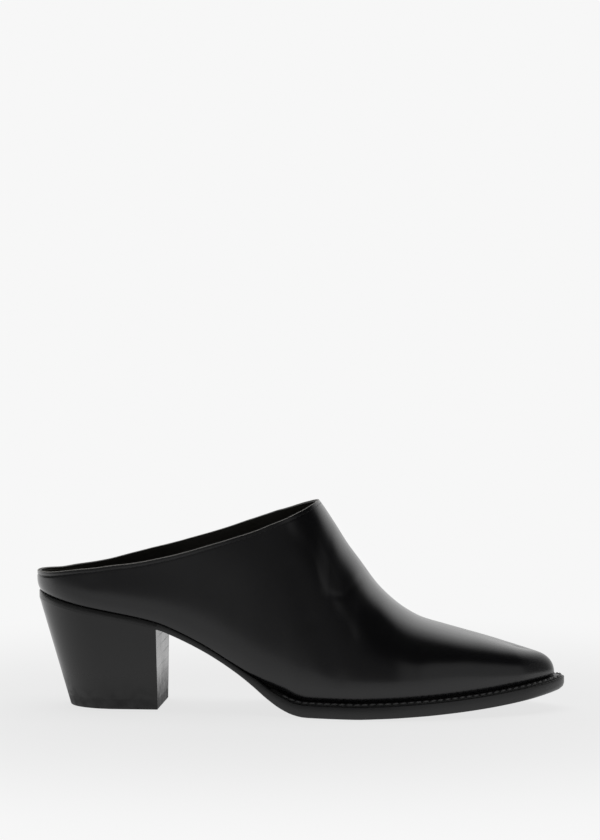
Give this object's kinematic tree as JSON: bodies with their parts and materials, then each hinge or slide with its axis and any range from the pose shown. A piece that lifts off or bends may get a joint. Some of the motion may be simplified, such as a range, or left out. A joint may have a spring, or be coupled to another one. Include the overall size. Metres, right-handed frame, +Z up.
{
  "type": "heeled mule",
  "caption": "Low-backed leather mule for the right foot with a high vamp, pointed toe, stitched welt, thin waist and stacked block heel.",
  "frame": {"origin": "on the floor under the middle of the shoe's length and width", "axes": "+X along the shoe to the toe, +Y to the inner side of the foot, +Z up"},
  "size_m": [0.2585, 0.09, 0.1013],
  "materials": {
    "upper_leather": "polished black calf with a soft gloss",
    "sock_leather": "matt dark lining leather",
    "sole_edge": "black edge ink, satin",
    "heel_lacquer": "stacked leather under black gloss paint",
    "top_rubber": "matt black rubber"
  },
  "bodies": {
    "root": {"upper": "upper_leather", "insole": "sock_leather", "welt": "sole_edge", "outsole": "sole_edge", "heel": "heel_lacquer", "top_lift": "top_rubber"}
  },
  "joints": []
}
